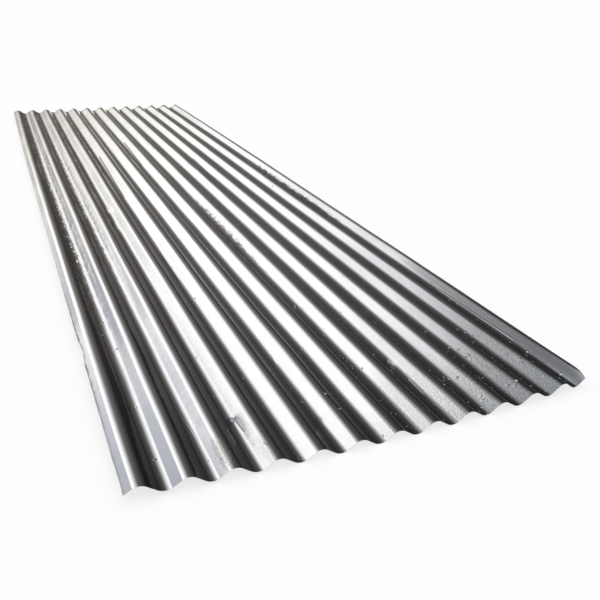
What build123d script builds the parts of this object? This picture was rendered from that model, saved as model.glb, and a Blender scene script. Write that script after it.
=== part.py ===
from build123d import *
from math import cos, radians, sin
import os

# A length of corrugated roofing sheet in zinc-coated steel, lying as it would on a floor. The waves run along Y,
# X goes across them and Z is up. The origin is below the middle of the sheet, at the height of its lowest valleys.

# Driving dimensions, in millimetres and degrees
PITCH = 76.0  # from one crest to the next
DEPTH = 17.0  # from a valley to a crest, on the middle of the sheet's thickness
FLANK_ANGLE = 34.0  # slope of the straight flank between a valley and a crest
CREST_COUNT = 12  # whole crests, each followed by a whole valley
LEFT_LIP = 15.0  # straight flank left below the first crest, down to the left edge
RIGHT_TURN = 34.0  # bend left above the last flank, over to the right edge on top of a crest
THICKNESS = 0.5  # steel with its zinc coat
LENGTH = 3350.0  # along the waves

# Bends and flanks that give this pitch and depth at this slope: each half wave is an arc, a straight flank
# that leaves it on its tangent, and the same arc turned over.
slope = radians(FLANK_ANGLE)
bend_radius = (PITCH / 2 * sin(slope) - DEPTH * cos(slope)) / (2 * (1 - cos(slope)))
flank = DEPTH * (1 + cos(slope)) / sin(slope) - PITCH / 2
turn = 2 * FLANK_ANGLE

# Radii of the sheet's underside: it is the inner side of a crest and the outer side of a valley.
crest_radius = bend_radius - THICKNESS / 2
valley_radius = bend_radius + THICKNESS / 2


def wave_section():
    """The sheet's section: its underside drawn from edge to edge, and thickened upwards square to the steel."""
    with BuildSketch(Plane.XZ) as section:
        with BuildLine():
            rise = PolarLine((0, 0), LEFT_LIP, FLANK_ANGLE)
            for _ in range(CREST_COUNT):
                crest = JernArc(rise @ 1, rise % 1, crest_radius, -turn)
                fall = PolarLine(crest @ 1, flank, -FLANK_ANGLE)
                valley = JernArc(fall @ 1, fall % 1, valley_radius, turn)
                rise = PolarLine(valley @ 1, flank, FLANK_ANGLE)
            JernArc(rise @ 1, rise % 1, crest_radius, -RIGHT_TURN)
            offset(amount=THICKNESS, side=Side.LEFT)
        make_face()
    return section.sketch


def corrugated_sheet():
    """One piece of sheet, its section carried along its length and set on the floor about the origin."""
    sheet = extrude(wave_section(), LENGTH / 2, both=True)
    box = sheet.bounding_box()
    return Pos(-box.center().X, 0, -box.min.Z) * sheet


os.makedirs("parts", exist_ok=True)
export_step(corrugated_sheet(), "parts/corrugated_sheet.step")
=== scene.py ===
"""A zinc-coated corrugated roofing sheet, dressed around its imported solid.

Lengths are metres and angles are degrees unless a name says otherwise. X goes across the waves, Y along
them from the near end to the far end, and Z is up from the floor.
"""

import logging
import math
from dataclasses import dataclass, field
from enum import Enum

import bpy
import numpy as np
from mathutils import Euler, Matrix, Vector


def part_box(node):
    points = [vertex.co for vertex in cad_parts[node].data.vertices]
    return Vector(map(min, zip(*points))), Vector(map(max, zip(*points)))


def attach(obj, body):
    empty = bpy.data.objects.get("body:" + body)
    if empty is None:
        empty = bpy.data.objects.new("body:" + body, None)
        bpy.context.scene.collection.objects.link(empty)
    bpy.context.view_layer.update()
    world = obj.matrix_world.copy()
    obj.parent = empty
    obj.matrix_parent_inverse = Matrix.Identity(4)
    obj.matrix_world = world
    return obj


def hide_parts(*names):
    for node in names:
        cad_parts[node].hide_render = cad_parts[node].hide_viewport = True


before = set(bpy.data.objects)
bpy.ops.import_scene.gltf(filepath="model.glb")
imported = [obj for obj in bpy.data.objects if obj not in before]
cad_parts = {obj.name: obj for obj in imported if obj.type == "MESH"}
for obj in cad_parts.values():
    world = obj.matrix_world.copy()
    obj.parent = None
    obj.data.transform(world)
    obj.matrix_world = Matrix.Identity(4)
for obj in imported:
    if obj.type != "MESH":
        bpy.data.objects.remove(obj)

LOG = logging.getLogger("roofing_sheet")
BODY = "root"
NODE = "corrugated_sheet"
MM = 0.001
UP = Vector((0.0, 0.0, 1.0))

Array = np.ndarray
Socket = bpy.types.NodeSocket
Value = float | Socket
Pair = tuple[float, float]
Triple = tuple[float, float, float]
Colour = tuple[float, float, float, float]
Ramp = tuple[float, ...]  # where a rise starts and ends, and the results there if they are not 0 and 1


class NodeBoard:
    """A new material, whose nodes it adds and wires up."""

    def __init__(self, name: str) -> None:
        """Starts a material without nodes.

        Args:
            name: The material's name.
        """
        self.material = bpy.data.materials.new(name)
        self.material.use_nodes = True
        self.tree = self.material.node_tree
        self.tree.nodes.clear()

    def add(self, kind: str, inputs: dict | None = None, **settings: object) -> bpy.types.Node:
        """Adds one node.

        Args:
            kind: The node's type, without its ShaderNode prefix.
            inputs: A value, or a socket to link, for each input by its name or place.
            settings: The node's own properties.

        Returns:
            The new node.
        """
        node = self.tree.nodes.new("ShaderNode" + kind)
        for name, value in settings.items():
            setattr(node, name, value)
        for name, value in (inputs or {}).items():
            if isinstance(value, Socket):
                self.tree.links.new(value, node.inputs[name])
            else:
                node.inputs[name].default_value = value
        return node

    def math(self, operation: str, first: Value, second: Value = 0.0) -> Socket:
        """The result of a Math node with this operation."""
        return self.add("Math", {0: first, 1: second}, operation=operation).outputs[0]

    def times(self, first: Value, second: Value) -> Socket:
        """The product of two values."""
        return self.math("MULTIPLY", first, second)

    def plus(self, first: Value, second: Value) -> Socket:
        """The sum of two values."""
        return self.math("ADD", first, second)

    def larger(self, first: Value, second: Value) -> Socket:
        """The larger of two values."""
        return self.math("MAXIMUM", first, second)

    def along(self, way: Socket, direction: Vector) -> Socket:
        """How far a vector reaches along a direction, as their dot product."""
        return self.add("VectorMath", {0: way, 1: tuple(direction)}, operation="DOT_PRODUCT").outputs["Value"]

    def stretch(self, place: Socket, scale: Triple) -> Socket:
        """A place with each of its axes scaled."""
        return self.add("Mapping", {"Vector": place, "Scale": scale}).outputs["Vector"]

    def noise(self, place: Socket, lumps: float, detail: float) -> Socket:
        """Smooth random values between 0 and 1, with so many lumps in each unit of the place."""
        return self.add("TexNoise", {"Vector": place, "Scale": lumps, "Detail": detail}).outputs["Fac"]

    def ease(self, value: Value, start: float, end: float, low: float = 0.0, high: float = 1.0) -> Socket:
        """A value eased from low at start, and before it, to high at end, and after it."""
        spans = {"Value": value, "From Min": start, "From Max": end, "To Min": low, "To Max": high}
        return self.add("MapRange", spans, interpolation_type="SMOOTHSTEP").outputs["Result"]

    def blend(self, share: Value, first: Colour | Socket, second: Colour | Socket) -> Socket:
        """Two colours blended, where the share is the second one's."""
        return self.add("Mix", {"Factor": share, 6: first, 7: second}, data_type="RGBA").outputs[2]

    def mix(self, share: Value, first: Socket, second: Socket) -> Socket:
        """Two shaders mixed, where the share is the second one's."""
        return self.add("MixShader", {0: share, 1: first, 2: second}).outputs[0]

    def glow(self, colour: Colour | Socket, strength: Value = 1.0) -> Socket:
        """A shader that gives off light."""
        return self.add("Emission", {"Color": colour, "Strength": strength}).outputs[0]

    def surface(self, shader: Socket) -> bpy.types.Material:
        """The material, once a shader covers its surface."""
        self.add("OutputMaterial", {"Surface": shader})
        return self.material


def bell(distance: Array, spread: float) -> Array:
    """A bell curve: e to the power of less the square of the distance in spreads."""
    return np.exp(-((distance / spread) ** 2))


def fading(distance: Array, length: float) -> Array:
    """A falling exponential: e to the power of less the distance in lengths."""
    return np.exp(-distance / length)


def closeness(distance: Array, reach: float) -> Array:
    """One at no distance, falling evenly to nothing at the reach."""
    return np.clip(1 - distance / reach, 0.0, 1.0)


def grid_quads(first: int, rows: int, columns: int) -> Array:
    """Four vertex indices for each quad of a grid: two neighbours in a row, and the two beyond them."""
    corner = first + np.arange(rows - 1)[:, None] * columns + np.arange(columns - 1)[None, :]
    return np.stack([corner, corner + 1, corner + columns + 1, corner + columns], axis=-1).reshape(-1, 4)


def add_surface(name: str, places: Array, quads: Array, mesh_name: str = "") -> bpy.types.Object:
    """Puts arrays of vertices and quads into a smooth-shaded mesh, and links an object with it to the scene.

    Args:
        name: The object's name.
        places: One row of X, Y and Z for each vertex.
        quads: Four vertex indices for each face.
        mesh_name: The mesh's name, where it isn't the object's.

    Returns:
        The object.
    """
    mesh = bpy.data.meshes.new(mesh_name or name)
    mesh.vertices.add(len(places))
    mesh.vertices.foreach_set("co", places.astype(np.float32).ravel())
    mesh.loops.add(quads.size)
    mesh.loops.foreach_set("vertex_index", quads.astype(np.int32).ravel())
    mesh.polygons.add(len(quads))
    mesh.polygons.foreach_set("loop_start", np.arange(0, quads.size, 4, dtype=np.int32))
    mesh.polygons.foreach_set("use_smooth", np.ones(len(quads), dtype=bool))
    mesh.update(calc_edges=True)
    mesh.validate()
    thing = bpy.data.objects.new(name, mesh)
    bpy.context.scene.collection.objects.link(thing)
    return thing


def add_square(name: str, half: float = 1.0) -> bpy.types.Object:
    """Adds a level square about the origin, whose corners lie half its side away along X and Y."""
    corners = half * np.array([[-1, -1, 0], [1, -1, 0], [-1, 1, 0], [1, 1, 0]])
    return add_surface(name, corners, grid_quads(0, 2, 2))


@dataclass(frozen=True)
class WaveProfile:
    """The middle line of the sheet's section: arcs over crests and valleys, joined by straight flanks."""

    pitch: float
    depth: float
    flank_angle: float
    valley: float
    floor_gap: float

    @property
    def bend_radius(self) -> float:
        """The one radius at which arc, flank and arc span half a pitch and the whole depth."""
        slope = math.radians(self.flank_angle)
        reach = self.pitch / 2 * math.sin(slope) - self.depth * math.cos(slope)
        return reach / (2 * (1 - math.cos(slope)))

    def height_and_tilt(self, x: Array) -> tuple[Array, Array]:
        """Height of the middle line, and its slope.

        With u the distance from the nearest valley and r the bend radius, the height is r minus the root
        of r squared less u squared near the valley, a straight line up the flank, and the valley's arc
        turned over near the crest. The slope's sine is u over r on an arc, and stays the same along the
        flank.

        Args:
            x: Places across the waves.

        Returns:
            The height over the floor, and the slope's angle in radians, positive where it rises with X.
        """
        slope = math.radians(self.flank_angle)
        radius = self.bend_radius
        bend = radius * math.sin(slope)
        half = self.pitch / 2
        offset = (x - self.valley + half) % self.pitch - half
        u = np.abs(offset)
        foot = np.minimum(u, bend)
        top = np.minimum(half - u, bend)
        run = np.clip(u - bend, 0.0, half - 2 * bend)
        rise = radius - np.sqrt(radius**2 - foot**2) + run * math.tan(slope)
        crown = np.sqrt(radius**2 - top**2) - math.sqrt(radius**2 - bend**2)
        tilt = np.arcsin(np.minimum(foot, np.minimum(top, bend)) / radius) * np.sign(offset)
        return self.floor_gap + rise + crown, tilt


@dataclass(frozen=True)
class SoftBend:
    """A bell curve across and along the sheet: a dent of some depth, or a sway of the waves to the right.

    A negative size makes it a swelling, or a sway to the left.
    """

    x: float
    y: float
    across: float
    along: float
    size: float

    def at(self, x: Array, y: Array) -> Array:
        """Size times the bell curves of the distances across and along."""
        return self.size * bell(x - self.x, self.across) * bell(y - self.y, self.along)


@dataclass(frozen=True)
class Kink:
    """A knock that starts sharply at its far end and fades out towards the near end."""

    x: float
    y: float
    across: float
    fade: float
    depth: float
    edge: float = 5 * MM

    def at(self, x: Array, y: Array) -> Array:
        """Depth times a bell curve across, a steep ramp at the far end and a falling exponential after it."""
        shape = bell(x - self.x, self.across) * fading(np.maximum(self.y - y, 0), self.fade)
        return self.depth * shape * (0.5 + 0.5 * np.tanh((self.y - y) / self.edge))


@dataclass(frozen=True)
class Patch:
    """An area of the surface where a mark of the finish shows, full in its middle and fading at its rim."""

    x: float
    y: float
    across: float
    along: float
    share: float = 1.0

    def weight(self, x: Array, y: Array) -> Array:
        """Share of the mark: one less the fourth power of the distance in spreads, not below nothing."""
        distance = ((x - self.x) / self.across) ** 2 + ((y - self.y) / self.along) ** 2
        return self.share * np.clip(1.0 - distance**2, 0.0, 1.0)


class Mark(Enum):
    """Marks of the finish that the mesh carries as attributes, each between 0 and 1."""

    DULL = "dull"
    DROPS = "drops"
    FROST = "frost"
    SPECKS = "specks"
    # Soil and stains, and painted shade in one dent.
    SOIL_AND_SHADE = "soil_and_shade"
    # Darker base colour near the foot of the flanks that face right; along the far end it is painted shade.
    DARKENING = "darkening"
    CHATTER = "chatter"


@dataclass(frozen=True)
class Scratch:
    """A fine line along the sheet, sunk in the zinc, or raised where its depth is negative."""

    start: Pair
    end: Pair
    width: float
    depth: float
    stain: float
    taper: Ramp = (0.40, 0.5, 1.0, 0.0)

    def mask(self, board: NodeBoard, x: Socket, y: Socket) -> Socket:
        """One on the line, easing to nothing a width away from it and at both of its ends.

        Args:
            board: The finish's nodes.
            x: Place across the waves.
            y: Place along the waves.

        Returns:
            The line's share of the surface.
        """
        reach = self.end[1] - self.start[1]
        share = board.times(board.math("SUBTRACT", y, self.start[1]), 1 / reach)
        middle = board.plus(board.times(share, self.end[0] - self.start[0]), self.start[0])
        gap = board.math("ABSOLUTE", board.math("SUBTRACT", x, middle))
        from_half = board.math("ABSOLUTE", board.math("SUBTRACT", share, 0.5))
        return board.times(board.ease(gap, 0.0, self.width, 1.0, 0.0), board.ease(from_half, *self.taper))


@dataclass(frozen=True)
class ZincFinish:
    """Bright zinc coat with spangle, rolling streaks, scratches, drops, white specks, frost and dirt.

    Its colour is darker on the flanks that face right. It carries painted highlights on the drops and on
    a swelling, and painted shade in a dent and along the far end.

    Lumps are counted in a metre, and a drop's or a speck's own size is a share of its cell.
    """

    light: Colour = (0.63, 0.635, 0.64, 1.0)
    dark: Colour = (0.57, 0.575, 0.585, 1.0)
    dull: Colour = (0.60, 0.58, 0.54, 1.0)
    # Dark colour of soil, scratch stains and drop rims, and painted shade in one dent.
    dirt_and_shade: Colour = (0.10, 0.09, 0.08, 1.0)
    # Darker base colour of the flanks that face right, and painted shade along the far end.
    darkening: Colour = (0.23, 0.218, 0.228, 1.0)
    # White of the specks, and of the painted highlights on the drops and on one swelling.
    specks_and_highlights: Colour = (0.80, 0.80, 0.78, 1.0)
    frosted: Colour = (0.44, 0.425, 0.38, 1.0)
    roughness: float = 0.06
    roughness_swing: float = 0.015
    worn_roughness: float = 0.3
    stain_wear: float = 0.6
    spangle: float = 9 * MM
    spangle_tilt: float = 0.007
    streak: float = 3 * MM
    streak_lumps: float = 2.0
    streak_depth: float = 0.006 * MM
    drop: float = 11 * MM
    drop_depth: float = 1.5 * MM
    least_drop: float = 0.2
    drop_swing: float = 0.3
    drop_rim: float = 1.6
    # Where the painted white highlight on top of a drop starts and where it is full.
    drop_glint: Ramp = (0.55, 0.8)
    chatter: Pair = (16 * MM, 45 * MM)
    chatter_depth: float = 2.4 * MM
    speck: float = 7 * MM
    speck_shape: Triple = (1.0, 0.35, 1.0)
    speck_rim: Ramp = (0.25, 0.45, 1.0, 0.0)
    frost: float = 2.9 * MM
    frost_depth: float = 0.38 * MM
    frost_grain: Ramp = (0.48, 0.62)
    cloud_lumps: float = 9.0
    cloud_edge: Ramp = (0.3, 0.7)
    dust_lumps: float = 420.0
    dust_grain: Ramp = (0.35, 0.6)
    blotch_lumps: Triple = (90.0, 28.0, 0.0)
    blotch_share: float = 0.7
    soil_grain: Ramp = (0.44, 0.54)
    scratches: tuple[Scratch, ...] = ()

    def material(self) -> bpy.types.Material:
        """Builds the finish as a procedural material.

        Returns:
            The material.
        """
        board = NodeBoard("zinc_coat")
        place = board.add("TexCoord").outputs["Object"]
        marks = {mark: board.add("Attribute", attribute_name=mark.value).outputs["Fac"] for mark in Mark}

        crystal = board.add("TexVoronoi", {"Vector": place, "Scale": 1 / self.spangle}).outputs["Color"]
        crystal_share = board.add("SeparateColor", {"Color": crystal}).outputs["Red"]
        streak = board.noise(board.stretch(place, (1 / self.streak, self.streak_lumps, 0.0)), 1.0, 3.0)
        cloud = board.noise(place, self.cloud_lumps, 4.0)
        dust = board.noise(place, self.dust_lumps, 2.0)
        grain = board.noise(place, 1 / self.frost, 2.0)
        blotch = board.noise(board.stretch(place, self.blotch_lumps), 1.0, 3.0)
        beaten = (1 / self.chatter[0], 1 / self.chatter[1], 0.0)
        ripple = board.noise(board.stretch(place, beaten), 1.0, 2.0)
        bead, rim, glint = self.beads(board, place, marks[Mark.DROPS])
        cut, line_stain = self.lines(board, place)

        dull = board.times(marks[Mark.DULL], board.ease(dust, *self.dust_grain))
        frost = board.times(marks[Mark.FROST], board.ease(grain, *self.frost_grain))
        mottle = board.plus(board.times(dust, 1 - self.blotch_share), board.times(blotch, self.blotch_share))
        soil_and_shade = board.times(marks[Mark.SOIL_AND_SHADE], board.ease(mottle, *self.soil_grain))
        # Dark share: drop rims, scratch stains and soil, with painted shade in one dent.
        stain = board.larger(board.larger(rim, line_stain), soil_and_shade)
        # White specks, with the painted highlights on top of the drops: white and not metal.
        specks_and_highlights = board.larger(self.specks(board, place, marks[Mark.SPECKS]), glint)
        shade = board.plus(board.times(crystal_share, 0.5), board.times(streak, 0.5))
        colour = board.blend(shade, self.dark, self.light)
        # Layers over the zinc: dull patches, frost, darker flanks with painted shade along the far end, soil
        # and stains with painted shade in a dent, and white specks with painted highlights.
        layers = ((dull, self.dull), (frost, self.frosted), (marks[Mark.DARKENING], self.darkening),
                  (stain, self.dirt_and_shade), (specks_and_highlights, self.specks_and_highlights))
        for share, layer in layers:
            colour = board.blend(share, colour, layer)

        smooth, matt = self.roughness - self.roughness_swing, self.roughness + self.roughness_swing
        rough = board.ease(cloud, *self.cloud_edge, smooth, matt)
        rough = board.plus(rough, board.times(streak, self.roughness_swing))
        worn = board.larger(board.larger(dull, specks_and_highlights), board.times(stain, self.stain_wear))
        rough = board.plus(rough, board.times(worn, self.worn_roughness))

        normal = self.facets(board, crystal)
        frosty = board.times(grain, board.larger(marks[Mark.FROST], marks[Mark.DULL]))
        rippled = board.times(ripple, marks[Mark.CHATTER])
        heights = ((streak, self.streak_depth), (rippled, self.chatter_depth), (frosty, self.frost_depth),
                   (bead, self.drop_depth), (cut, MM))
        for height, depth in heights:
            normal = board.add("Bump", {"Height": height, "Distance": depth, "Normal": normal}).outputs[0]

        bare = board.math("SUBTRACT", 1.0, specks_and_highlights)
        skin = {"Base Color": colour, "Metallic": bare, "Roughness": rough, "Normal": normal}
        return board.surface(board.add("BsdfPrincipled", skin).outputs[0])

    def facets(self, board: NodeBoard, crystal: Socket) -> Socket:
        """Tilts the surface a little, one way in each crystal of the spangle.

        Args:
            board: The finish's nodes.
            crystal: A random colour for each crystal.

        Returns:
            The tilted normal.
        """
        facing = board.add("NewGeometry").outputs["Normal"]
        lean = board.add("VectorMath", {0: crystal, 1: (0.5, 0.5, 0.5)}, operation="SUBTRACT").outputs[0]
        lean = board.add("VectorMath", {0: lean, "Scale": self.spangle_tilt}, operation="SCALE").outputs[0]
        facet = board.add("VectorMath", {0: facing, 1: lean}, operation="ADD").outputs[0]
        return board.add("VectorMath", {0: facet}, operation="NORMALIZE").outputs[0]

    def beads(self, board: NodeBoard, place: Socket, density: Socket) -> tuple[Socket, Socket, Socket]:
        """Round drops, one in each cell of a random net whose draw falls below the density there.

        Args:
            board: The finish's nodes.
            place: Places on the sheet.
            density: Share of the cells that hold a drop.

        Returns:
            The drops' height, the share of a darker ring round their rims and the share of a painted
            white highlight on top.
        """
        cell = board.add("TexVoronoi", {"Vector": place, "Scale": 1 / self.drop})
        draw = board.add("SeparateColor", {"Color": cell.outputs["Color"]})
        held = board.math("LESS_THAN", draw.outputs["Green"], density)
        size = board.plus(board.times(draw.outputs["Blue"], self.drop_swing), self.least_drop)
        spread = board.math("DIVIDE", cell.outputs["Distance"], size)
        dome = board.times(board.ease(spread, 0.0, 1.0, 1.0, 0.0), held)
        rim = board.times(dome, board.math("SUBTRACT", 1.0, dome))
        # The glint is a painted highlight, white and not metal, on top of each drop; the rim is a darker ring
        # round it.
        return dome, board.times(rim, self.drop_rim), board.ease(dome, *self.drop_glint)

    def specks(self, board: NodeBoard, place: Socket, density: Socket) -> Socket:
        """White matt specks, longer along the sheet than across it, thrown at random.

        Args:
            board: The finish's nodes.
            place: Places on the sheet.
            density: Share of the cells of a random net that hold a speck.

        Returns:
            The specks' share of the surface.
        """
        drawn = board.stretch(place, self.speck_shape)
        cell = board.add("TexVoronoi", {"Vector": drawn, "Scale": 1 / self.speck})
        draw = board.add("SeparateColor", {"Color": cell.outputs["Color"]}).outputs["Red"]
        held = board.math("LESS_THAN", draw, density)
        return board.times(board.ease(cell.outputs["Distance"], *self.speck_rim), held)

    def lines(self, board: NodeBoard, place: Socket) -> tuple[Value, Value]:
        """All scratches together.

        Args:
            board: The finish's nodes.
            place: Places on the sheet.

        Returns:
            The scratches' height in millimetres, and their share of dirt.
        """
        split = board.add("SeparateXYZ", {0: place})
        height: Value = 0.0
        stain: Value = 0.0
        for scratch in self.scratches:
            mask = scratch.mask(board, split.outputs["X"], split.outputs["Y"])
            height = board.plus(board.times(mask, -scratch.depth / MM), height)
            stain = board.larger(board.times(mask, scratch.stain), stain)
        return height, stain


@dataclass
class RoofingSheet:
    """The corrugated sheet: one piece of steel with a top, an underside and a cut edge all round.

    A strip is a line's distance to the right of each valley, and the spread of the bell curve about it.
    """

    low: Vector
    high: Vector
    thickness: float = 0.5 * MM
    pitch: float = 76 * MM
    flank_angle: float = 34.0
    crests_to_right_edge: int = 12
    bend_step: float = 2 * MM
    flank_step: float = 5 * MM
    least_step: float = 0.1 * MM
    rows: int = 128
    near_crowding: float = 0.16
    sharp_angle: float = 50.0
    corner_lift: float = 10.5 * MM
    lift_fade: float = 0.70
    lip_lift: float = 4 * MM
    lip_reach: float = 50 * MM
    lip_start: float = 0.35
    near_bow: float = 12 * MM
    bow_fade: float = 0.30
    far_draw_in: float = 0.0278
    left_lean: float = 4 * MM
    left_lean_spread: float = 1.6
    right_lean: float = 8 * MM
    right_lean_spread: float = 0.40
    lean_reach: float = 80 * MM
    ragged: float = 0.7 * MM
    rag_waves: tuple[float, ...] = (0.31, 0.17, 0.083, 0.047, 0.029)
    nick: float = 4 * MM
    nick_at: float = -1.19
    nick_spread: float = 0.035
    corner_clip: float = 10 * MM
    corner_reach: float = 50 * MM
    wander: float = 0.10 * MM
    wander_waves: tuple[Pair, ...] = ((0.09, 0.7), (0.13, 0.41), (0.06, 1.1), (0.21, 0.29))
    seed: int = 7
    valley_drops: float = 0.05
    valley_strip: Pair = (0.0, 8 * MM)
    front_drops: float = 0.42
    front_strip: Pair = (-12 * MM, 16 * MM)
    front_spread: float = 0.45
    front_at_middle: float = 0.35
    # The flanks' darker base colour: where it lies, how it thins out and where it is thicker; its line along
    # the far end is painted shade.
    darkening_strip: Pair = (-14 * MM, 16 * MM)
    far_darkening: float = 0.45
    near_darkening: float = 0.40
    near_darkening_fade: float = 0.5
    middle_darkening: float = 0.80
    left_darkening: float = 0.40
    thick_darkening: float = 0.62
    thick_at: float = -0.235
    thick_spread: float = 0.07
    thick_start: float = 0.4
    edge_band: float = 5 * MM
    edge_darkening: float = 0.8
    edge_darkening_spread: float = 0.45
    even_soil: float = 0.2
    nick_soil: float = 1.2
    nick_soil_spread: float = 0.2
    least_chatter: float = 0.035
    sways: tuple[SoftBend, ...] = ()
    dents: tuple[SoftBend, ...] = ()
    kinks: tuple[Kink, ...] = ()
    marks: dict[Mark, tuple[Patch, ...]] = field(default_factory=dict)

    def profile(self) -> WaveProfile:
        """The section's middle line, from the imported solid's box, whose right edge is the top of a crest.

        Returns:
            The middle line.
        """
        valley = self.high.x - (self.crests_to_right_edge + 0.5) * self.pitch
        depth = self.high.z - self.low.z - self.thickness
        return WaveProfile(self.pitch, depth, self.flank_angle, valley, self.thickness / 2)

    def grid(self) -> tuple[Array, Array]:
        """Places of the grid's columns and rows, with rows closest together at the near end.

        Columns stand at both ends of each bend and of each flank, and at even steps between them, closer on
        the bends. With v from 0 to 1 along the sheet, a row stands at a share of v plus the rest times v
        squared.

        Returns:
            X of each column and Y of each row.
        """
        profile = self.profile()
        slope = math.sin(math.radians(self.flank_angle))
        bend = profile.bend_radius * slope
        left = self.low.x + self.thickness / 2 * slope
        turns = profile.valley + self.pitch / 2 * np.arange(2 * self.crests_to_right_edge + 2)
        stops = np.sort(np.concatenate([turns - bend, turns, turns + bend]))
        inside = stops[(stops > left + self.least_step) & (stops < self.high.x - self.least_step)]
        stops = np.concatenate([[left], inside, [self.high.x]])
        middle = (stops[1:] + stops[:-1]) / 2
        on_flank = np.abs(middle[:, None] - turns[None, :]).min(axis=1) > bend
        counts = np.ceil(np.diff(stops) / np.where(on_flank, self.flank_step, self.bend_step))
        reached = np.concatenate([[0.0], np.cumsum(counts)])
        columns = np.interp(np.arange(reached[-1] + 1), reached, stops)
        v = np.linspace(0.0, 1.0, self.rows)
        share = self.near_crowding * v + (1 - self.near_crowding) * v**2
        return columns, self.low.y + (self.high.y - self.low.y) * share

    def settle(self, x: Array, y: Array) -> Array:
        """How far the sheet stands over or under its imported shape.

        The near corners lift with the square of the distance from the middle line and fade out along the
        sheet, where the left edge then lifts a little with the square of the closeness to it. A few long
        sine waves of random phase make the rolled steel wander, and dents and kinks sink into it.

        Args:
            x: Places across the waves.
            y: Places along the waves.

        Returns:
            The change in height.
        """
        from_near = y - self.low.y
        height = self.corner_lift * (x / self.high.x) ** 2 * fading(from_near, self.lift_fade)
        lip = closeness(x - self.low.x, self.lip_reach)
        height += self.lip_lift * lip**2 * (1 - fading(from_near, self.lip_start))
        draw = np.random.default_rng(self.seed)
        for wave_across, wave_along in self.wander_waves:
            for way in (1, -1):
                phase = draw.uniform(0, 2 * np.pi)
                height += self.wander * np.sin(2 * np.pi * (x / wave_across + way * y / wave_along) + phase)
        for knock in (*self.dents, *self.kinks):
            height -= knock.at(x, y)
        return height

    def trim(self, x: Array, y: Array) -> Array:
        """Places across the waves after wear to the edges.

        The left edge is set in by a sum of sine waves of random phase and by a bell-shaped nick, both dying
        out over three times the nick's depth. The near right corner is set in by a clip that grows with the
        square of the closeness to the near end.

        Args:
            x: Places across the waves.
            y: Places along the waves.

        Returns:
            The places, moved in from the edges.
        """
        draw = np.random.default_rng(self.seed)
        lengths = np.array(self.rag_waves)[:, None, None]
        phase = draw.uniform(0, 2 * np.pi, lengths.shape)
        rag = self.ragged * (1 + np.sin(2 * np.pi * y / lengths + phase).mean(axis=0))
        rag += self.nick * bell(y - self.nick_at, self.nick_spread)
        left = closeness(x - x.min(), 3 * self.nick)
        near = closeness(y - self.low.y, self.corner_reach)
        right = closeness(self.high.x - x, self.corner_reach)
        return x + rag * left - self.corner_clip * near**2 * right

    def lay(self, x: Array, y: Array) -> tuple[Array, Array]:
        """Places on the floor as the sheet lies: its near end bows back at both corners.

        From its middle on, the sheet is drawn in with the square of the way to its far end. Towards the near
        end the left edge leans out and the right edge leans in, each as a bell curve along the sheet that
        dies out evenly inwards. Where the sheet sways, its waves stand to one side.

        Args:
            x: Places across the waves.
            y: Places along the waves.

        Returns:
            The places across and along, as they lie.
        """
        from_near = y - self.low.y
        bow = self.near_bow * (x / self.high.x) ** 2 * fading(from_near, self.bow_fade)
        far = np.clip(from_near / (self.high.y - self.low.y) * 2 - 1, 0.0, 1.0)
        left = self.left_lean * closeness(x - self.low.x, self.lean_reach)
        right = self.right_lean * closeness(self.high.x - x, self.lean_reach)
        lean = left * bell(from_near, self.left_lean_spread) + right * bell(from_near, self.right_lean_spread)
        sway = sum(sway.at(x, y) for sway in self.sways)
        return x * (1 - self.far_draw_in * far**2) - lean + sway, y + bow

    def build(self) -> bpy.types.Object:
        """Makes the sheet's mesh: the middle surface moved half a thickness along its normal, up and down.

        The faces of the top and of the underside are shaded with this normal, the rim with its own.

        Returns:
            The sheet.
        """
        columns, rows = self.grid()
        across, along = np.meshgrid(columns, rows)
        x = self.trim(across, along)
        height, tilt = self.profile().height_and_tilt(x)
        z = height + self.settle(x, along)
        normal = self.normals(x, along, tilt)
        middle = np.stack([*self.lay(x, along), z], axis=-1).reshape(-1, 3)
        half = self.thickness / 2
        places = np.concatenate([middle + half * normal, middle - half * normal])
        places[:, 2] = np.maximum(places[:, 2], self.low.z)
        quads, rim = self.faces(len(rows), len(columns))
        sheet = add_surface("roofing_sheet", places, np.concatenate([quads, rim]), "corrugated_sheet_skin")
        mesh = sheet.data
        mesh.set_sharp_from_angle(angle=math.radians(self.sharp_angle))
        shading = np.concatenate([normal, -normal])[quads.ravel()]
        mesh.normals_split_custom_set(np.concatenate([shading, np.zeros((rim.size, 3))]))
        self.carry_marks(mesh, np.tile(across.ravel(), 2), np.tile(along.ravel(), 2))
        return sheet

    def normals(self, x: Array, y: Array, tilt: Array) -> Array:
        """Normals of the middle surface, from the wave's slope and the slopes of what changes its height.

        Args:
            x: Places across the waves.
            y: Places along the waves.
            tilt: The wave's slope there, in radians.

        Returns:
            One row of X, Y and Z for each place.
        """
        step = 0.5 * MM
        rise_across = np.tan(tilt) + (self.settle(x + step, y) - self.settle(x - step, y)) / (2 * step)
        rise_along = (self.settle(x, y + step) - self.settle(x, y - step)) / (2 * step)
        normal = np.stack([-rise_across, -rise_along, np.ones_like(tilt)], axis=-1).reshape(-1, 3)
        return normal / np.linalg.norm(normal, axis=1, keepdims=True)

    def strip(self, x: Array, aside: float, spread: float) -> Array:
        """A bell curve about the line that lies so far to the right of each valley."""
        half = self.pitch / 2
        return bell((x - self.profile().valley - aside + half) % self.pitch - half, spread)

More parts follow.
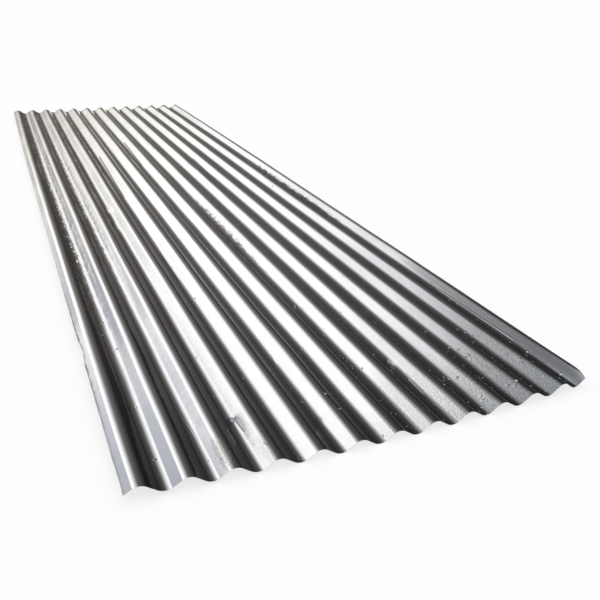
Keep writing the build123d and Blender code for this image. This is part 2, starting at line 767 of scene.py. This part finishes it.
    def wet(self, x: Array, y: Array) -> Array:
        """Drops that stand in every valley, and more of them by the feet of the flanks at the near right.

        Both are bell curves across each wave. The second is also a bell curve about the near end, and grows
        with the place from the middle line to the right edge.

        Args:
            x: Places across the waves.
            y: Places along the waves.

        Returns:
            Share of the drops' places that hold a drop.
        """
        valley = self.valley_drops * self.strip(x, *self.valley_strip)
        rightness = np.clip(self.front_at_middle + x / self.high.x, 0.0, 1.0)
        front = bell(y - self.low.y, self.front_spread) * rightness
        return valley + self.front_drops * self.strip(x, *self.front_strip) * front

    def flank_darkening(self, x: Array, y: Array) -> Array:
        """Darker base colour on the flanks that face right, as a bell curve about a line near the foot of
        each.

        It thins out from the near end to the far one, and from the left edge to the right one. Beyond the
        near end it is thicker in a bell curve about the third and fourth waves. A thin line of it follows
        the left edge, as a bell curve about the nick, and another the far end, which is painted shade for
        the cut edge there.

        Args:
            x: Places across the waves.
            y: Places along the waves.

        Returns:
            Share of the surface that the darker colour covers.
        """
        from_near = y - self.low.y
        nearness = self.far_darkening + self.near_darkening * fading(from_near, self.near_darkening_fade)
        leftness = self.middle_darkening - self.left_darkening * x / self.high.x
        thick = self.thick_darkening * bell(x - self.thick_at, self.thick_spread)
        thick *= 1 - fading(from_near, self.thick_start)
        left_line = closeness(x - self.low.x, self.edge_band)
        left_line *= bell(y - self.nick_at, self.edge_darkening_spread)
        # Painted shade: a thin dark line along the far end stands for the shadow of the cut edge.
        far_line = closeness(self.high.y - y, self.edge_band)
        flanks = self.strip(x, *self.darkening_strip) * (nearness * leftness + thick)
        return np.maximum(flanks, self.edge_darkening * np.maximum(left_line, far_line))

    def edge_soil(self, x: Array, y: Array) -> Array:
        """Soil along the left edge, easing off inwards, thickest in a bell curve about the nick."""
        cover = self.even_soil + self.nick_soil * bell(y - self.nick_at, self.nick_soil_spread)
        return cover * closeness(x - self.low.x, self.edge_band)

    def faces(self, rows: int, columns: int) -> tuple[Array, Array]:
        """Quads of the top and the underside, and those of the cut edge that joins them.

        Args:
            rows: How many rows each side has.
            columns: How many columns each side has.

        Returns:
            Four vertex indices for each quad of both sides, and for each of the edge, all facing outwards.
        """
        count = rows * columns
        top = grid_quads(0, rows, columns)
        under = grid_quads(count, rows, columns)[:, ::-1]
        index = np.arange(count).reshape(rows, columns)
        rim = np.concatenate([index[0, :-1], index[:-1, -1], index[-1, :0:-1], index[:0:-1, 0]])
        ahead = np.roll(rim, -1)
        edge = np.stack([rim, rim + count, ahead + count, ahead], axis=-1)
        return np.concatenate([top, under]), edge

    def carry_marks(self, mesh: bpy.types.Mesh, x: Array, y: Array) -> None:
        """Writes each mark's weight to the mesh: the largest of its patches and of what is all over it.

        Args:
            mesh: The sheet's mesh.
            x: Place of each vertex across the waves, before wear.
            y: Place of each vertex along the waves.
        """
        all_over = {
            Mark.DROPS: self.wet(x, y),
            Mark.DARKENING: self.flank_darkening(x, y),
            Mark.SOIL_AND_SHADE: self.edge_soil(x, y),
            Mark.CHATTER: np.full_like(x, self.least_chatter),
        }
        for mark in Mark:
            weight = all_over.get(mark, np.zeros_like(x))
            for patch in self.marks.get(mark, ()):
                weight = np.maximum(weight, patch.weight(x, y))
            attribute = mesh.attributes.new(mark.value, "FLOAT", "POINT")
            attribute.data.foreach_set("value", weight.astype(np.float32))

    def dress(self, sheet: bpy.types.Object, finish: ZincFinish) -> None:
        """Gives the sheet its finish and its place in the part.

        Args:
            sheet: The sheet.
            finish: Its zinc coat.
        """
        sheet.data.materials.append(finish.material())
        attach(sheet, BODY)
        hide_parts(NODE)


class Tone(Enum):
    """What the studio gives off, or is tinted by, as linear colours where 1 is the background's white."""

    WHITE = (1.66, 1.66, 1.65, 1.0)
    HAZE = (1.26, 1.27, 1.29, 1.0)
    WARM = (1.07, 1.0, 0.86, 1.0)
    PLAIN = (1.08, 1.0, 1.0, 1.0)
    COOL = (0.98, 1.0, 1.09, 1.0)
    DUSK = (0.32, 0.32, 0.34, 1.0)
    SKY = (1.0, 1.0, 1.0, 1.0)
    OVERHEAD = (0.605, 0.66, 0.735, 1.0)
    CREAM = (1.70, 1.66, 1.51, 1.0)


def heading(azimuth: float, elevation: float) -> tuple[Vector, Vector, Vector]:
    """The direction that an azimuth and an elevation give, with the directions right of it and above it.

    Args:
        azimuth: Angle from the far end round to the right.
        elevation: Angle over the floor.

    Returns:
        Three unit vectors: ahead, right and upward.
    """
    turn, rise = math.radians(azimuth), math.radians(elevation)
    level = math.cos(rise)
    ahead = Vector((math.sin(turn) * level, math.cos(turn) * level, math.sin(rise)))
    right = ahead.cross(UP).normalized()
    return ahead, right, right.cross(ahead)


def show_in_reflections_only(thing: bpy.types.Object, material: bpy.types.Material) -> None:
    """Makes a thing stage that only the rays of a glossy surface see, with a glow that lights nothing else.

    Args:
        thing: A card or a dome.
        material: What it glows with.
    """
    material.cycles.emission_sampling = "NONE"
    thing.data.materials.append(material)
    for ray in ("camera", "diffuse", "transmission", "shadow"):
        setattr(thing, "visible_" + ray, False)


@dataclass(frozen=True)
class StudioCard:
    """A flat card far from the sheet, with soft sides, that shows only as a reflection in the metal.

    Azimuth is measured from the far end round to the right, and half width and half height are angles too.
    The sides' softness is a share of the half width or half height: left, right, bottom and top. The cream
    low down ends over the floor at a share of the card's distance.
    """

    name: str
    tone: Tone
    azimuth: float
    elevation: float
    half_width: float
    half_height: float
    roll: float
    softness: tuple[float, ...]
    distance: float
    cream_end: Ramp = (0.14, 0.42)

    def matrix(self) -> Matrix:
        """Place, turn and size of the card, which faces the middle of the sheet.

        Returns:
            The card's matrix in the world.
        """
        away, right, upward = heading(self.azimuth, self.elevation)
        turn = Matrix((right, upward, -away)).transposed().to_4x4()
        spread = [self.distance * math.tan(math.radians(a)) for a in (self.half_width, self.half_height)]
        size = Matrix.Diagonal((*spread, 1.0, 1.0))
        roll = Matrix.Rotation(math.radians(self.roll), 4, "Z")
        return Matrix.Translation(away * self.distance) @ turn @ roll @ size

    def glow(self, board: NodeBoard) -> Socket:
        """An even glow in the card's tone, which turns to cream close to the floor.

        Args:
            board: The card's nodes.

        Returns:
            The glow's shader.
        """
        place = board.add("SeparateXYZ", {0: board.add("NewGeometry").outputs["Position"]}).outputs["Z"]
        height = board.math("DIVIDE", place, self.distance)
        share = board.ease(height, *self.cream_end)
        return board.glow(board.blend(share, Tone.CREAM.value, self.tone.value))

    def material(self) -> bpy.types.Material:
        """The card's glow, which fades to nothing at its soft sides.

        Returns:
            The material.
        """
        board = NodeBoard(self.name)
        place = board.add("SeparateXYZ", {0: board.add("TexCoord").outputs["Object"]})
        left, right, bottom, top = self.softness
        share: Value = 1.0
        for axis, before, after in (("X", left, right), ("Y", bottom, top)):
            start = board.ease(place.outputs[axis], -1.0, before - 1.0)
            end = board.ease(place.outputs[axis], 1.0 - after, 1.0, 1.0, 0.0)
            share = board.times(share, board.times(start, end))
        clear = board.add("BsdfTransparent").outputs[0]
        return board.surface(board.mix(share, clear, self.glow(board)))

    def build(self) -> None:
        """Makes the card, out of the camera's sight."""
        card = add_square(self.name)
        card.matrix_world = self.matrix()
        show_in_reflections_only(card, self.material())


@dataclass(frozen=True)
class StudioTent:
    """A dome round the sheet that shows only as a reflection in the metal.

    It is graded round a direction ahead, given by an azimuth and an elevation: x and y are the places right
    of and above that direction, on a flat picture whose half width is the spread. To the sides and behind,
    the dome is dark on the right and light on the left, and overhead it is even and cool.
    """

    azimuth: float = 20.0
    elevation: float = 25.0
    spread: float = 50.0
    least_depth: float = 0.05
    level: float = 0.171
    fall: float = 3.77
    fall_more: float = -1.0
    bell_up: float = 5.73
    bell_down: float = 8.5
    even_left: float = -0.43
    least: float = 0.002
    cool_end: Ramp = (-0.45, -0.10)
    warm_top: Ramp = (-0.28, 0.02, 1.0, 0.0)
    warm_left: Ramp = (-0.70, -0.20, 0.4, 1.0)
    warm_foot: Ramp = (0.05, 0.13, 0.3, 1.0)
    front: Ramp = (0.2, 0.7)
    front_right: Ramp = (0.56, 0.72, 1.0, 0.0)
    light_from: Pair = (-125.0, 20.0)
    light_edge: Ramp = (0.40, 0.85)
    overhead: Ramp = (0.70, 0.86)
    radius: float = 200.0
    lowest: float = -4.0
    columns: int = 49
    rows: int = 25

    def glow(self, board: NodeBoard) -> Socket:
        """Level times e to the power of less falls times x and its square, and less a bell times y squared.

        The fall with x holds from the even left on, and the one with its square on the right only. The tint
        is cool on the left and warm low down, though less so on the left and close to the floor.

        Args:
            board: The dome's nodes.

        Returns:
            The glow's shader.
        """
        place = board.add("TexCoord").outputs["Object"]
        way = board.add("VectorMath", {0: place}, operation="NORMALIZE").outputs[0]
        ahead, right, upward = heading(self.azimuth, self.elevation)
        depth, rightward, height = (board.along(way, direction) for direction in (ahead, right, UP))
        scale = board.times(board.larger(depth, self.least_depth), math.tan(math.radians(self.spread)))
        x = board.math("DIVIDE", rightward, scale)
        y = board.math("DIVIDE", board.along(way, upward), scale)
        power = board.times(board.larger(x, self.even_left), -self.fall)
        for reach, fall in ((x, self.fall_more), (y, self.bell_up), (board.times(y, -1.0), self.bell_down)):
            squared = board.math("POWER", board.larger(reach, 0.0), 2.0)
            power = board.plus(power, board.times(squared, -fall))
        strength = board.plus(board.times(board.math("EXPONENT", power), self.level), self.least)
        tint = board.blend(board.ease(x, *self.cool_end), Tone.COOL.value, Tone.PLAIN.value)
        warmth = board.times(board.ease(y, *self.warm_top), board.ease(x, *self.warm_left))
        warmth = board.times(warmth, board.ease(height, *self.warm_foot))
        graded = board.glow(board.blend(warmth, tint, Tone.WARM.value), strength)
        lit = board.ease(board.along(way, heading(*self.light_from)[0]), *self.light_edge)
        plain = board.glow(board.blend(lit, Tone.DUSK.value, Tone.SKY.value))
        in_front = board.times(board.ease(depth, *self.front), board.ease(rightward, *self.front_right))
        around = board.mix(in_front, plain, graded)
        return board.mix(board.ease(height, *self.overhead), around, board.glow(Tone.OVERHEAD.value))

    def build(self) -> None:
        """Makes the dome: azimuth and elevation are the two parameters of its grid."""
        azimuths = np.radians(np.linspace(0, 360, self.columns))
        elevations = np.radians(np.linspace(self.lowest, 90, self.rows))
        azimuth, elevation = np.meshgrid(azimuths, elevations)
        level = np.cos(elevation)
        ways = np.stack([np.sin(azimuth) * level, np.cos(azimuth) * level, np.sin(elevation)], axis=-1)
        quads = grid_quads(0, self.rows, self.columns)
        tent = add_surface("studio_tent", self.radius * ways.reshape(-1, 3), quads)
        board = NodeBoard("tent_cloth")
        show_in_reflections_only(tent, board.surface(self.glow(board)))


@dataclass
class Studio:
    """A plain pale floor under an even white sky, with cards and a tent for the metal to mirror."""

    cards: tuple[StudioCard, ...]
    tent: StudioTent
    floor_half: float = 300.0
    floor_colour: Colour = (0.97, 0.97, 0.97, 1.0)
    floor_glow: float = 0.70
    sky_colour: Colour = (1.0, 1.0, 1.0, 1.0)

    def build_floor(self) -> None:
        """Makes the floor: plain matt white that partly glows for what looks at it, so shadows stay faint."""
        floor = add_square("floor", self.floor_half)
        board = NodeBoard("floor_paint")
        ray = board.add("LightPath")
        seen = board.plus(ray.outputs["Is Camera Ray"], ray.outputs["Is Glossy Ray"])
        seen = board.plus(seen, ray.outputs["Is Transmission Ray"])
        share = board.times(board.math("MINIMUM", seen, 1.0), self.floor_glow)
        paint = board.add("BsdfDiffuse", {"Color": self.floor_colour}).outputs[0]
        floor.data.materials.append(board.surface(board.mix(share, paint, board.glow(self.sky_colour))))

    def build_sky(self) -> None:
        """Makes the world an even white that lights the sheet and shows behind it."""
        world = bpy.data.worlds.new("white_sky")
        world.use_nodes = True
        world.node_tree.nodes["Background"].inputs["Color"].default_value = self.sky_colour
        world.cycles.sampling_method = "NONE"
        bpy.context.scene.world = world

    def build(self) -> None:
        """Makes the floor, the sky, the tent and the cards."""
        self.build_floor()
        self.build_sky()
        self.tent.build()
        LOG.info("studio tent")
        for card in self.cards:
            card.build()
            LOG.info("studio card %s", card.name)


@dataclass(frozen=True)
class Viewpoint:
    """The camera: where it stands, how it is turned, and its lens and sensor, in millimetres."""

    location: Triple = (-0.5711, -2.5148, 0.7415)
    turn: Triple = (64.746, -1.730, -23.506)
    lens: float = 41.238
    sensor: float = 36.0
    nearest: float = 0.01
    farthest: float = 900.0

    def place(self) -> None:
        """Adds the camera to the scene."""
        data = bpy.data.cameras.new("camera")
        data.lens = self.lens
        data.sensor_width = self.sensor
        data.clip_start = self.nearest
        data.clip_end = self.farthest
        camera = bpy.data.objects.new("camera", data)
        camera.location = self.location
        camera.rotation_euler = Euler([math.radians(a) for a in self.turn], "XYZ")
        bpy.context.scene.collection.objects.link(camera)
        bpy.context.scene.camera = camera


def studio_cards() -> tuple[StudioCard, ...]:
    """The cards that the sheet mirrors: a tilted bright window, with a haze over it and farther away.

    Returns:
        The cards, nearest first.
    """
    window_softness = (0.87, 0.645, 0.615, 0.625)
    haze_softness = (1.40, 0.11, 0.53, 1.11)
    return (
        StudioCard("bright_window", Tone.WHITE, -20.8, 30.1, 33.5, 11.65, -41.6, window_softness, 60.0),
        StudioCard("high_haze", Tone.HAZE, -15.4, 39.1, 18.8, 20.8, -70.0, haze_softness, 90.0),
    )


def wear_marks() -> dict[Mark, tuple[Patch, ...]]:
    """The patches where each mark shows, placed along the valleys and flanks.

    Returns:
        The patches of each mark.
    """
    return {
        Mark.SPECKS: (
            Patch(-0.404, -0.28, 11 * MM, 0.80, 0.75), Patch(-0.325, 0.10, 11 * MM, 0.95, 0.70),
            # The last patch here is a painted highlight: white where the swelling at -0.248, -0.215 catches
            # the light.
            Patch(-0.390, 0.75, 9 * MM, 0.55, 0.75), Patch(-0.247, -0.219, 8 * MM, 45 * MM),
        ),
        Mark.CHATTER: (
            Patch(-0.404, -0.28, 22 * MM, 1.1, 0.6), Patch(-0.325, 0.10, 22 * MM, 1.2, 0.7),
            Patch(0.060, -0.48, 18 * MM, 0.50, 0.7), Patch(0.170, 0.00, 18 * MM, 0.28, 0.6),
            Patch(0.090, 0.68, 26 * MM, 0.36, 0.6), Patch(-0.10, 1.20, 0.36, 0.55, 0.35),
            Patch(0.33, 1.15, 0.16, 0.60, 0.30),
        ),
        Mark.SOIL_AND_SHADE: (
            # The first patch here is painted shade in the dent at -0.261, -0.376.
            Patch(-0.261, -0.376, 10 * MM, 55 * MM), Patch(-0.254, -1.527, 6 * MM, 9 * MM, 0.6),
            Patch(-0.416, 1.00, 20 * MM, 0.70), Patch(-0.343, 1.05, 17 * MM, 0.65, 0.9),
            Patch(-0.268, 0.80, 19 * MM, 0.85), Patch(-0.192, 0.80, 19 * MM, 0.85),
            Patch(0.05, 1.42, 0.42, 0.35, 0.04), Patch(0.438, -0.15, 8 * MM, 0.55, 0.95),
            Patch(0.059, -0.50, 7 * MM, 0.36, 0.75), Patch(0.170, 0.00, 7 * MM, 0.17, 0.5),
            Patch(0.090, 0.68, 18 * MM, 0.30, 0.4),
        ),
        # Patches where the base colour of the flanks is darker still.
        Mark.DARKENING: (
            Patch(0.451, -1.38, 16 * MM, 0.45, 0.80), Patch(0.297, -1.53, 28 * MM, 0.36, 0.30),
            Patch(0.373, -1.53, 28 * MM, 0.42, 0.26), Patch(0.069, -1.60, 30 * MM, 0.16, 0.15),
            Patch(0.411, 0.40, 65 * MM, 0.95, 0.14), Patch(-0.387, -0.38, 15 * MM, 1.20, 0.40),
            Patch(-0.311, -0.18, 15 * MM, 1.15, 0.36), Patch(-0.235, -0.08, 15 * MM, 0.80, 0.15),
            Patch(-0.425, 0.85, 15 * MM, 0.75, 0.90), Patch(-0.425, 1.45, 15 * MM, 0.30, 0.90),
            Patch(0.440, 1.40, 25 * MM, 0.45, 0.25),
        ),
        Mark.DROPS: (
            Patch(-0.214, -1.653, 6 * MM, 8 * MM, 0.9), Patch(-0.304, -1.636, 9 * MM, 8 * MM, 0.7),
            Patch(-0.104, -1.511, 9 * MM, 12 * MM, 0.7), Patch(-0.021, -1.296, 7 * MM, 30 * MM, 0.6),
            Patch(0.048, -1.375, 7 * MM, 60 * MM, 0.5), Patch(0.057, -1.156, 7 * MM, 40 * MM, 0.5),
            Patch(0.125, -1.284, 7 * MM, 30 * MM, 0.6), Patch(0.361, -1.405, 6 * MM, 25 * MM, 0.6),
            Patch(0.438, -1.220, 6 * MM, 0.18, 0.6), Patch(0.438, -1.338, 5 * MM, 12 * MM, 0.8),
            Patch(0.054, -0.770, 6 * MM, 0.12, 0.5), Patch(0.048, -1.020, 6 * MM, 60 * MM, 0.5),
            Patch(0.215, -1.600, 30 * MM, 90 * MM, 0.25), Patch(0.295, -1.520, 35 * MM, 0.15, 0.25),
            Patch(0.370, -1.500, 30 * MM, 0.16, 0.22), Patch(0.438, -1.540, 6 * MM, 45 * MM, 0.7),
        ),
        Mark.DULL: (
            Patch(0.455, -1.665, 16 * MM, 16 * MM, 0.8), Patch(-0.296, -1.622, 13 * MM, 55 * MM),
            Patch(-0.222, -1.640, 13 * MM, 60 * MM, 0.6), Patch(-0.235, -1.560, 18 * MM, 0.12, 0.25),
        ),
        Mark.FROST: (
            Patch(0.286, -1.590, 90 * MM, 0.16), Patch(0.384, -1.560, 60 * MM, 0.18),
            Patch(0.150, -1.610, 60 * MM, 0.15, 0.65), Patch(0.069, -1.610, 26 * MM, 0.14, 0.5),
            Patch(0.020, -1.660, 90 * MM, 0.07, 0.5),
        ),
    }


def worn_sheet(low: Vector, high: Vector) -> RoofingSheet:
    """The sheet with its knocks and marks.

    Args:
        low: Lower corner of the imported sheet's box.
        high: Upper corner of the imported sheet's box.

    Returns:
        The sheet.
    """
    sways = (
        SoftBend(0.29, -0.82, 0.16, 1.30, 4.4 * MM),
        SoftBend(-0.20, -0.52, 0.17, 0.95, -2.7 * MM),
    )
    dents = (
        SoftBend(-0.0967, -1.347, 4 * MM, 8 * MM, 0.7 * MM),
        SoftBend(0.1270, -1.440, 6 * MM, 9 * MM, 1.8 * MM),
        SoftBend(-0.2608, -0.376, 9 * MM, 35 * MM, 2.2 * MM),
        SoftBend(-0.2480, -0.215, 7 * MM, 32 * MM, -1.8 * MM),
        SoftBend(0.4640, -1.672, 16 * MM, 16 * MM, 1.2 * MM),
    )
    kinks = (
        Kink(-0.2450, -1.522, 8 * MM, 50 * MM, 2.2 * MM, 3 * MM),
        Kink(-0.0963, -1.576, 9 * MM, 50 * MM, 1.2 * MM),
    )
    return RoofingSheet(low, high, sways=sways, dents=dents, kinks=kinks, marks=wear_marks())


def scratched_zinc() -> ZincFinish:
    """The zinc coat with the fine lines that run along the sheet.

    Returns:
        The finish.
    """
    return ZincFinish(scratches=(
        Scratch((-0.1672, 0.584), (-0.1755, -0.103), 4.0 * MM, 0.5 * MM, 0.9),
        Scratch((-0.1780, -0.642), (-0.1783, -0.872), 3.5 * MM, 0.5 * MM, 0.9),
        Scratch((-0.0140, 0.820), (-0.0210, 0.330), 4.0 * MM, 0.5 * MM, 0.8),
        Scratch((0.2120, 0.420), (0.2070, 0.080), 4.0 * MM, 0.5 * MM, 0.8),
        Scratch((-0.2440, -1.524), (-0.2417, -1.566), 1.4 * MM, 0.4 * MM, 0.9),
        Scratch((-0.2262, -1.618), (-0.2210, -1.632), 1.2 * MM, 0.3 * MM, 0.6),
        Scratch((-0.3324, -1.452), (-0.3234, -1.555), 1.5 * MM, -0.15 * MM, 0.0),
        Scratch((0.1272, -1.449), (0.1268, -1.466), 1.5 * MM, -0.5 * MM, 0.0),
        Scratch((0.1341, -1.505), (0.1326, -1.568), 1.6 * MM, -0.4 * MM, 0.0),
        Scratch((0.4402, -1.143), (0.4391, -1.483), 2.2 * MM, -0.4 * MM, 0.0),
    ))


def main() -> None:
    logging.basicConfig(level=logging.INFO, format="%(message)s")
    bpy.context.scene.view_settings.view_transform = "Standard"
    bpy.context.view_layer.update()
    low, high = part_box(NODE)
    roof = worn_sheet(low, high)
    sheet = roof.build()
    roof.dress(sheet, scratched_zinc())
    LOG.info("piece %s with %d faces", sheet.name, len(sheet.data.polygons))
    Studio(studio_cards(), StudioTent()).build()
    Viewpoint().place()
    LOG.info("camera placed")


if __name__ == "__main__":
    main()
